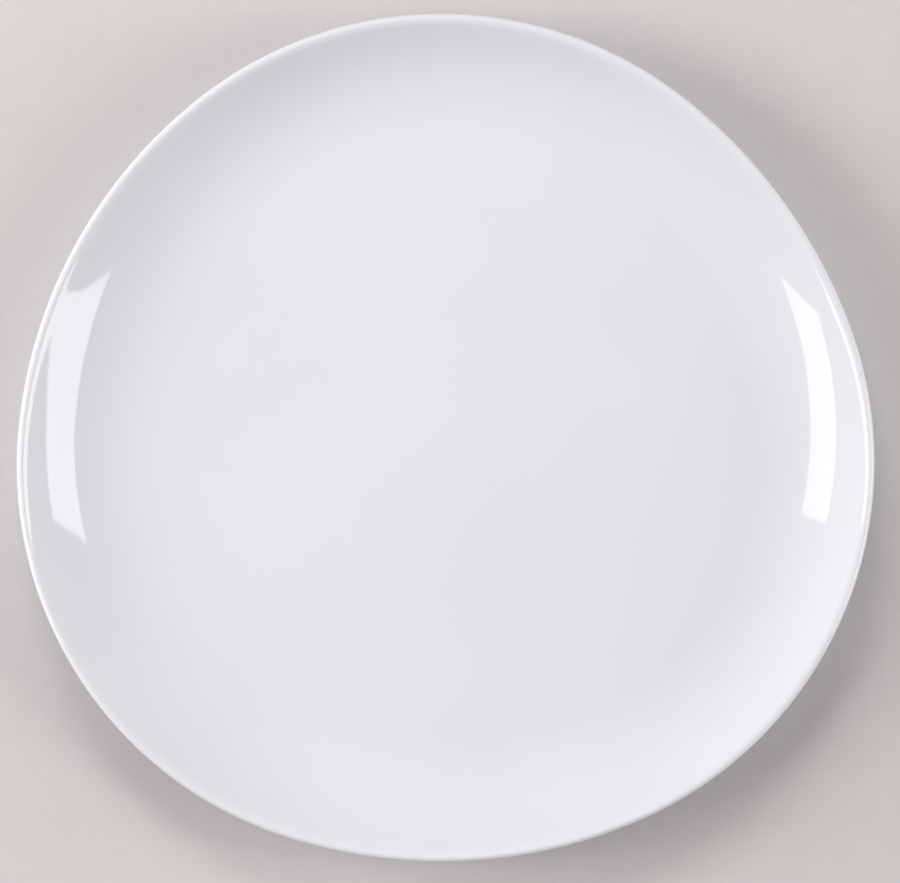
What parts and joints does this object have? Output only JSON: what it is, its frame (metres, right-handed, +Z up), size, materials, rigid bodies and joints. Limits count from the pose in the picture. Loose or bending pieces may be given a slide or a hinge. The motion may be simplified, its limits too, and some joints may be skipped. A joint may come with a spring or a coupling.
{
  "type": "dinner plate",
  "caption": "Coupe dinner plate in white gloss porcelain: soft lobed outline, flat well, wall curving up to a plain rounded lip, and a low foot ring with an unglazed tip.",
  "frame": {"origin": "on the table, under the middle of the plate's overall width and depth", "axes": "+Z up out of the well, +X to the right across the overall width, +Y away across the overall depth"},
  "size_m": [0.27, 0.267, 0.022],
  "materials": {
    "bisque": "matt unglazed porcelain, fine and slightly warm",
    "gloss_glaze": "clear gloss glaze over white porcelain",
    "pooled_glaze": "clear gloss glaze over white porcelain"
  },
  "bodies": {
    "root": {"porcelain_body": "bisque", "glaze_coat": "gloss_glaze", "base_glaze": "pooled_glaze"}
  },
  "joints": []
}
